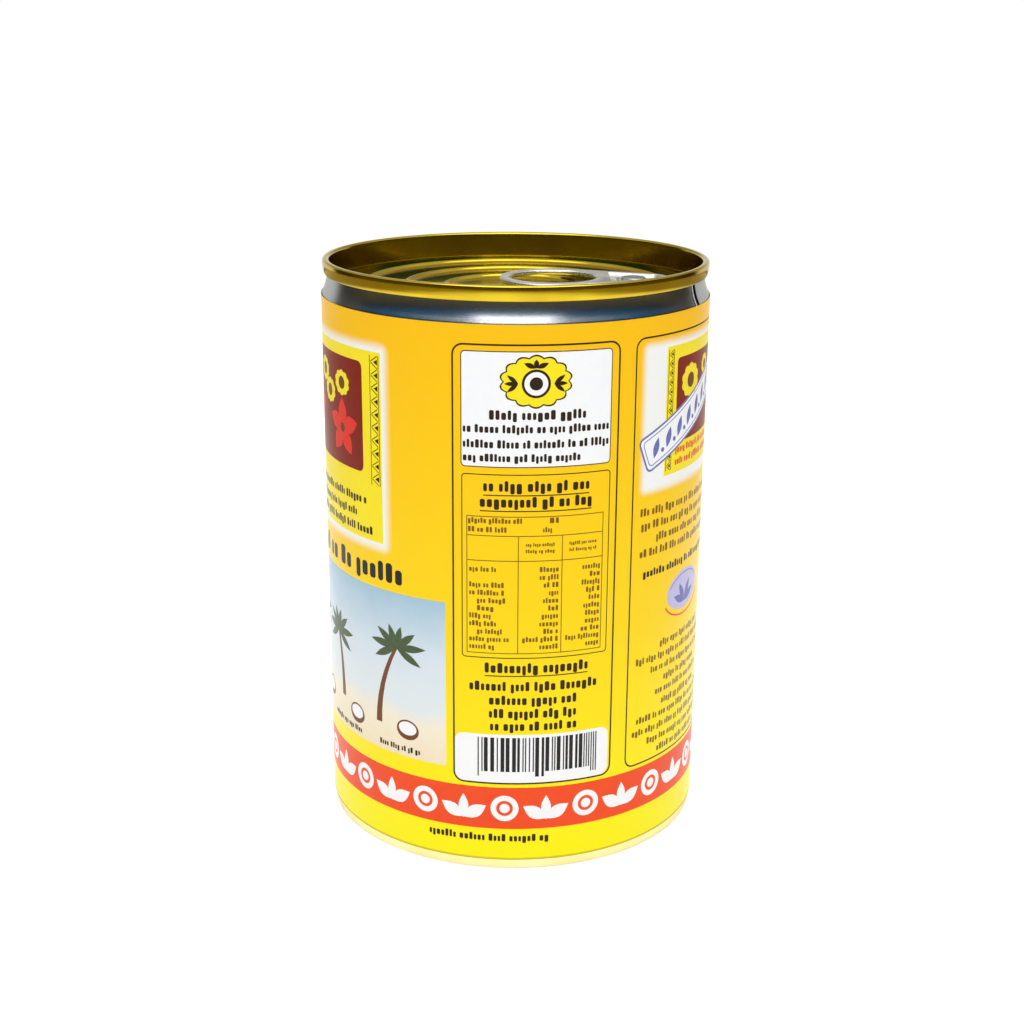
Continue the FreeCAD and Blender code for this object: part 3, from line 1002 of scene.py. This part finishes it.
RIGHT_PANEL = (22.3, 17.4, 57.0, 99.1)
RIGHT_GROUND = (25.4, 71.8, 55.4, 96.6)
RIGHT_SQUARE = (30.2, 73.0, 54.4, 96.6)
RIGHT_FIELD = (33.4, 78.6, 51.0, 94.2)
RIGHT_BORDERS = ((30.7, 32.2), (52.3, 53.8))
RIGHT_BLOSSOMS = ((38.6, 89.4, 3.6, 3.2, 10, 1.4), (46.4, 91.0, 2.2, 2.0, 10, 0.9))
RIGHT_MIDDLE = 39.4
UPPER_ROWS = ((66.4, 29.6), (63.8, 29.0), (61.2, 21.0), (58.6, 29.4))
LOWER_ROWS = (17, 30, 22, 14, 19, 15, 29, 31, 23, 17)
LOWER_FIRST = 40.0
LOWER_PITCH = 2.38
OVAL_UP = 49.2
STAMP_PLACE = (25.8, 74.2)
STAMP_LENGTH = 29.0
STAMP_TALL = 6.8
STAMP_CORNER = 1.2
STAMP_EDGE = 0.85
STAMP_LEAN = 22.0
STAMP_LEAVES = 7

stamp_ink = ink("ink_stamp_violet", "#4F55A6", "#8389C4", size=0.35)
lavender_ink = ink("ink_lavender", "#B9B2DC", "#CFC9EA", size=0.8)

bm = bmesh.new()
rule_box(bm, *RIGHT_PANEL, PANEL_CORNER, RULE)
words(bm, 25.5, 54.0, 54.6, 1.1)
printed("print_right_rules", bm, dark_ink, 1)

bright_square("right", RIGHT_GROUND, RIGHT_SQUARE, RIGHT_FIELD, spread=2.0, corner=0.8)
bm = bmesh.new()
for left, right in RIGHT_BORDERS:
    zigzag(bm, left, right, 73.8, 96.0)
printed("print_right_borders", bm, dark_ink, 3)
bm = bmesh.new()
for up in (76.6, 74.4):
    words(bm, 33.6, 50.8, up, 1.0)
printed("print_right_rows", bm, red_ink, 3)
blooms("right", (), RIGHT_BLOSSOMS)


def slanted(drawing):
    """Turn a drawing made from (0, 0) on to the slant and place of the stamp."""
    bmesh.ops.rotate(drawing, verts=drawing.verts[:], cent=(0, 0, 0),
                     matrix=Matrix.Rotation(math.radians(STAMP_LEAN), 3, "Z"))
    bmesh.ops.translate(drawing, verts=drawing.verts[:], vec=(*STAMP_PLACE, 0))
    return drawing


def bow(bm, up, across, tall, first, width):
    """A thin arc of an oval about the panel's middle, 140 degrees round from first."""
    turns = [math.radians(turn) for turn in range(first, first + 141, 10)]
    stroke(bm, [(RIGHT_MIDDLE + across * math.cos(t), up + tall * math.sin(t)) for t in turns], width)


bm = bmesh.new()
box(bm, 0, 0, STAMP_LENGTH, STAMP_TALL, STAMP_CORNER)
printed("print_stamp_ground", slanted(bm), white_ink, 4)
bm = bmesh.new()
rule_box(bm, 0, 0, STAMP_LENGTH, STAMP_TALL, STAMP_CORNER, width=0.38)
rule_box(bm, STAMP_EDGE, STAMP_EDGE, STAMP_LENGTH - STAMP_EDGE, STAMP_TALL - STAMP_EDGE,
         corner=0.9, width=0.18)
for step in range(STAMP_LEAVES):
    along = 2.4 + step * (STAMP_LENGTH - 6.6) / (STAMP_LEAVES - 1)
    leaf(bm, along, 1.9, length=3.9, width=1.5, turn=52)
    disc(bm, along + 2.6, 2.2, 0.45, steps=12)
printed("print_stamp", slanted(bm), stamp_ink, 5)

bm = bmesh.new()
middle = RIGHT_MIDDLE - 0.2
for up, width in UPPER_ROWS:
    words(bm, middle - width / 2, middle + width / 2, up, 1.15, longest=4)
for row, width in enumerate(LOWER_ROWS):
    up = LOWER_FIRST - row * LOWER_PITCH
    words(bm, RIGHT_MIDDLE - width / 2, RIGHT_MIDDLE + width / 2, up, 1.0, longest=5)
printed("print_right_words", bm, fine_ink, 1)

bm = bmesh.new()
disc(bm, RIGHT_MIDDLE, OVAL_UP, 6.8, 3.9, steps=40)
printed("print_right_oval", bm, lavender_ink, 1)
bm = bmesh.new()
for lean in (24, 60, 120, 156):
    leaf(bm, RIGHT_MIDDLE, OVAL_UP - 2.6, length=4.6, width=1.5, turn=lean)
bow(bm, OVAL_UP, across=6.0, tall=3.2, first=20, width=0.2)
printed("print_right_oval_leaves", bm, stamp_ink, 2)
bm = bmesh.new()
bow(bm, OVAL_UP - 0.6, across=7.6, tall=4.4, first=200, width=0.35)
printed("print_right_arc", bm, orange_ink, 1)


# ----------------------------------------------------------------------
# Back panels. The face of the can turned to the shelf: a tall glowing yellow panel with zigzag
# borders, a maroon field with flowers and blossoms, and a beach strip; beside it a ruled box.

BACK_SQUARE = (66.0, 53.0, 112.0, 95.8)
BACK_FIELD = (71.5, 64.5, 106.5, 93.6)
BACK_BORDERS = ((66.9, 69.1), (108.9, 111.1))
BACK_FLOWERS = ((81.5, 80.5, 8.0, 1.3), (99.0, 87.0, 4.6, 0.8))
BACK_BLOSSOMS = ((91.5, 72.5, 5.6, 4.6, 12, 2.4), (101.5, 75.5, 3.4, 2.8, 10, 1.4),
                 (90.5, 88.5, 3.0, 2.6, 10, 1.2))
BACK_STRIP = (66.0, 20.1, 112.0, 46.5)
BACK_PALMS = ((76.0, 24.0, 14.0, 3.6), (101.0, 24.5, 13.0, -3.8))
BACK_COCONUTS = ((85.5, 25.4), (93.0, 24.6))
BACK_BOX = (117.0, 17.4, 145.0, 99.2)
BACK_PITCH = 2.5

bright_square("back", BACK_SQUARE, BACK_SQUARE, BACK_FIELD, spread=2.4, corner=1.2)
bm = bmesh.new()
for left, right in BACK_BORDERS:
    zigzag(bm, left, right, 54.4, 94.8)
words(bm, 74.0, 104.0, 60.2, 1.7, longest=4)
words(bm, 78.0, 100.0, 57.2, 1.3)
printed("print_back_borders", bm, dark_ink, 3)
blooms("back", BACK_FLOWERS, BACK_BLOSSOMS)

beach(("print_back_strip", "print_back", "print_back"), BACK_STRIP, BACK_PALMS, BACK_COCONUTS,
      shell=(3.2, 2.6), flesh=(2.6, 1.8, 0.4))

bm = bmesh.new()
rule_box(bm, *BACK_BOX, PANEL_CORNER, RULE)
for foot in (92.4, 54.6):
    heading(bm, 120.0, 142.0, foot, 1.6, underline=foot - 0.8)
printed("print_back_rules", bm, dark_ink, 1)
bm = bmesh.new()
for first in (88.4, 50.4):
    for row in range(12):
        words(bm, 119.6, 142.4 if row % 4 < 3 else 132.0, first - row * BACK_PITCH, 1.1)
printed("print_back_words", bm, fine_ink, 1)


# ----------------------------------------------------------------------
# Table sheet. The can stands on a sheet of matt white paper that shows as plain white. In the
# can's metal it is mirrored bright near the can and a dim warm grey further off.

SHEET_RADIUS = 0.62
BRIGHT_REACH = 0.24
DIM_REACH = 0.40
SHEET_LIFT = 0.34

# Uncoated white paper: a faint tooth 2.5 mm across and no shine. A little light of its own
# keeps the sheet white to the camera, and near the can also in the metal.
white_sheet, place = new_material("white_table_sheet")
tooth = add(white_sheet, "TexNoise", {"Scale": 1 / (2.5 * MM), "Detail": 3.0}, place)
tint = add(white_sheet, "ValToRGB", links={"Fac": tooth.outputs["Fac"]},
           stops=((0.0, "#F6F6F6"), (1.0, "#FBFBFB")))
rays = add(white_sheet, "LightPath")
oval = add(white_sheet, "Mapping", {"Location": (0, -0.02, 0), "Scale": (1.5, 1, 1)}, place)
away = add(white_sheet, "VectorMath", {"operation": "LENGTH"}, {0: oval.outputs["Vector"]})
far = add(white_sheet, "MapRange",
          {"interpolation_type": "SMOOTHSTEP", "From Min": BRIGHT_REACH, "From Max": DIM_REACH},
          {"Value": away.outputs["Value"]})
fading = add(white_sheet, "Math", {"operation": "MULTIPLY"},
             {0: far.outputs["Result"], 1: rays.outputs["Is Glossy Ray"]})
mirrored = add(white_sheet, "Mix", {"data_type": "RGBA", 7: linear("#9A8C6A")},
               {0: fading.outputs[0], 6: tint.outputs["Color"]})
matt = add(white_sheet, "BsdfDiffuse", links={"Color": mirrored.outputs[2]})
near = add(white_sheet, "Math", {"operation": "SUBTRACT", 0: 1.0}, {1: far.outputs["Result"]})
bright = add(white_sheet, "Math", {"operation": "MULTIPLY"},
             {0: near.outputs[0], 1: rays.outputs["Is Glossy Ray"]})
seen = add(white_sheet, "Math", {"operation": "MAXIMUM"},
           {0: rays.outputs["Is Camera Ray"], 1: bright.outputs[0]})
lift = add(white_sheet, "Math", {"operation": "MULTIPLY", 1: SHEET_LIFT}, {0: seen.outputs[0]})
glow = add(white_sheet, "Emission", {"Color": (1, 1, 1, 1)}, {"Strength": lift.outputs[0]})
sheet = add(white_sheet, "AddShader", links={0: matt.outputs["BSDF"], 1: glow.outputs["Emission"]})
add(white_sheet, "OutputMaterial", links={"Surface": sheet.outputs["Shader"]})

bm = bmesh.new()
bmesh.ops.create_circle(bm, cap_ends=True, segments=96, radius=SHEET_RADIUS)
table = finished("table_sheet", bm)
table.data.materials.append(white_sheet)


# ----------------------------------------------------------------------
# Room. What the can's metal mirrors: in front a dim room, warm low down and with a blue band
# part way up, at the sides a plain grey one, and behind the can a light wall that dims upwards.

FRONT_EDGE = (0.1, 0.4)
BEHIND_EDGE = (0.60, 0.74)
WALL_DIMS = (0.08, 0.32)
EVEN_LIGHT = 0.64

world = bpy.data.worlds.new("studio")
bpy.context.scene.world = world
world.use_nodes = True
world.node_tree.nodes.clear()
place = add(world, "TexCoord")
toward = add(world, "SeparateXYZ", links={"Vector": place.outputs["Generated"]})
dim = add(world, "ValToRGB", links={"Fac": toward.outputs["Z"]},
          stops=((0.0, "#5E5230"), (0.28, "#1C1D1B"), (0.39, "#045A7C"),
                 (0.50, "#045274"), (0.60, "#C8C4BA"), (1.0, "#E8E4DA")))
plain = add(world, "ValToRGB", links={"Fac": toward.outputs["Z"]},
            stops=((0.0, "#3A3424"), (0.30, "#56534A"), (0.45, "#9A968C"),
                   (0.60, "#C8C4BA"), (1.0, "#E8E4DA")))
front, behind, high = (
    add(world, "MapRange",
        {"interpolation_type": "SMOOTHSTEP", "From Min": edge[0], "From Max": edge[1]},
        {"Value": toward.outputs[axis]})
    for edge, axis in ((FRONT_EDGE, "Y"), (BEHIND_EDGE, "Y"), (WALL_DIMS, "Z")))
around = add(world, "Mix", {"data_type": "RGBA"},
             {0: front.outputs["Result"], 6: dim.outputs["Color"], 7: plain.outputs["Color"]})
wall_light = add(world, "Mix", {"data_type": "RGBA", 6: linear("#F0EFEA"), 7: linear("#AEAA9C")},
                 {0: high.outputs["Result"]})
room = add(world, "Mix", {"data_type": "RGBA"},
           {0: behind.outputs["Result"], 6: around.outputs[2], 7: wall_light.outputs[2]})

# Only mirrored rays see that room. The camera sees plain white, and the rest is even light.
rays = add(world, "LightPath")
seen = add(world, "Math", {"operation": "MAXIMUM"},
           {0: rays.outputs["Is Camera Ray"], 1: rays.outputs["Is Transmission Ray"]})
even = add(world, "Background", {"Color": (1, 1, 1, 1), "Strength": EVEN_LIGHT})
mirror = add(world, "Background", {"Strength": 1.0}, {"Color": room.outputs[2]})
backdrop = add(world, "Background", {"Color": (1, 1, 1, 1), "Strength": 1.0})
glossy = add(world, "MixShader",
             links={0: rays.outputs["Is Glossy Ray"], 1: even.outputs[0], 2: mirror.outputs[0]})
shown = add(world, "MixShader",
            links={0: seen.outputs[0], 1: glossy.outputs[0], 2: backdrop.outputs[0]})
add(world, "OutputWorld", links={"Surface": shown.outputs[0]})


# ----------------------------------------------------------------------
# Softboxes. The can's metal mirrors a broad one overhead and a narrow strip high in front; two
# behind it rake only its matt sides. Each has a name, its width and height in metres, its power
# in watts, its place, and whether metal mirrors it.

LAMP_AIM = Vector((0, 0, 0.08))
LAMPS = (
    ("overhead_softbox", 0.8, 0.8, 3.2, (0.0, -0.20, 0.78), True),
    ("front_softbox", 0.7, 0.16, 0.9, (0.0, -0.78, 0.60), True),
    ("left_rim_softbox", 0.3, 0.5, 1.1, (-0.275, 0.476, 0.12), False),
    ("right_rim_softbox", 0.3, 0.5, 1.1, (0.275, 0.476, 0.12), False),
)
for name, wide, tall, energy, spot, mirrored in LAMPS:
    lamp = bpy.data.lights.new(name, "AREA")
    lamp.shape = "RECTANGLE"
    lamp.size = wide
    lamp.size_y = tall
    lamp.energy = energy
    softbox = bpy.data.objects.new(name, lamp)
    softbox.location = spot
    softbox.rotation_euler = (LAMP_AIM - Vector(spot)).to_track_quat("-Z", "Y").to_euler()
    softbox.visible_camera = False
    softbox.visible_glossy = mirrored
    bpy.context.scene.collection.objects.link(softbox)


# ----------------------------------------------------------------------
# Camera. It stands in front of the can, looks a little down on the lid, and has a slightly
# long lens. Its turns are in degrees: down, to the right and about the view.

CAMERA_PLACE = Vector((0, -0.302405, 0.151087))
CAMERA_TURNS = (17.035, -0.077, -0.367)
FOCAL_LENGTH = 56.197

pitch, yaw, roll = (math.radians(angle) for angle in CAMERA_TURNS)
lens = bpy.data.cameras.new("camera")
lens.sensor_width = 36.0
lens.lens = FOCAL_LENGTH
lens.clip_start = 0.01
camera = bpy.data.objects.new("camera", lens)
camera.matrix_world = (Matrix.Translation(CAMERA_PLACE) @ Matrix.Rotation(-yaw, 4, "Z")
                       @ Matrix.Rotation(math.pi / 2 - pitch, 4, "X")
                       @ Matrix.Rotation(-roll, 4, "Z"))
bpy.context.scene.collection.objects.link(camera)
bpy.context.scene.camera = camera

bpy.context.scene.view_settings.view_transform = "Standard"
